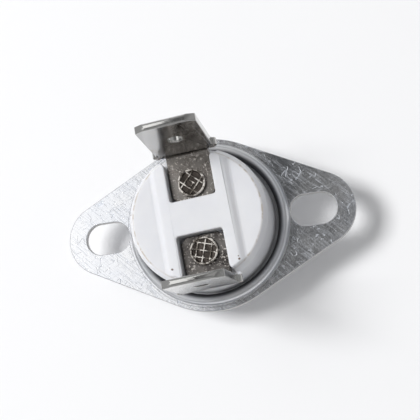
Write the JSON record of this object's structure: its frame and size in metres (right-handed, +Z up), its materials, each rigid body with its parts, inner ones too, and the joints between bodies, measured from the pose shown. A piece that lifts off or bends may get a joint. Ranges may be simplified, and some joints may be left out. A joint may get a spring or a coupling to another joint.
{
  "type": "bimetal thermostat",
  "caption": "Snap-disc bimetal switch: ceramic body with riveted upright tabs, crimped into a drawn aluminium cup with a slotted diamond flange.",
  "frame": {"origin": "middle of the flat sensing face under the cup, at the flange's centre", "axes": "+Z up through the ceramic body, +X along the line through the two slots, +Y towards the upper terminal"},
  "size_m": [0.0332, 0.0198, 0.0196],
  "materials": {
    "drawn_aluminium": "bright drawn sheet, scratched, worn satin",
    "bimetal": "rolled sheet, satin",
    "guide_ceramic": "unglazed, matt",
    "pin_ceramic": "ground, matt",
    "body_ceramic": "white, soft gloss, small chips and specks",
    "terminal_nickel": "nickel plated, satin, scratched",
    "rivet_steel": "plated, tool marked",
    "spring_bronze": "rolled spring sheet",
    "washer_steel": "stamped",
    "contact_silver": "bright",
    "plate_brass": "stamped sheet"
  },
  "bodies": {
    "housing": {"flanged_cup": "drawn_aluminium", "bimetal_disc": "bimetal", "disc_guide": "guide_ceramic", "ceramic_body": "body_ceramic", "upper_terminal": "terminal_nickel", "lower_terminal": "terminal_nickel", "upper_rivet": "rivet_steel", "lower_rivet": "rivet_steel", "arm_washer": "washer_steel", "fixed_contact": "contact_silver", "fixed_contact_plate": "plate_brass"},
    "pin": {"push_pin": "pin_ceramic"},
    "arm": {"contact_arm": "spring_bronze", "moving_contact": "contact_silver"}
  },
  "joints": [
    {"name": "pin_slide", "type": "slide", "parent": "housing", "child": "pin", "axis": [0, 0, 1], "range_m": [0, 0.0005], "deforming": ["bimetal_disc"]},
    {"name": "arm_swing", "type": "hinge", "parent": "housing", "child": "arm", "pos_m": [-0.00048, 0.00379, 0.0064], "axis": [-0.9973, -0.0732, 0], "range_deg": [0, 7.6], "stiffness_Nm_per_rad": 0.002, "springref_deg": -5.73}
  ],
  "couplings": [
    {"joint": "arm_swing", "follows": "pin_slide", "rad_per_m": 263.16}
  ]
}
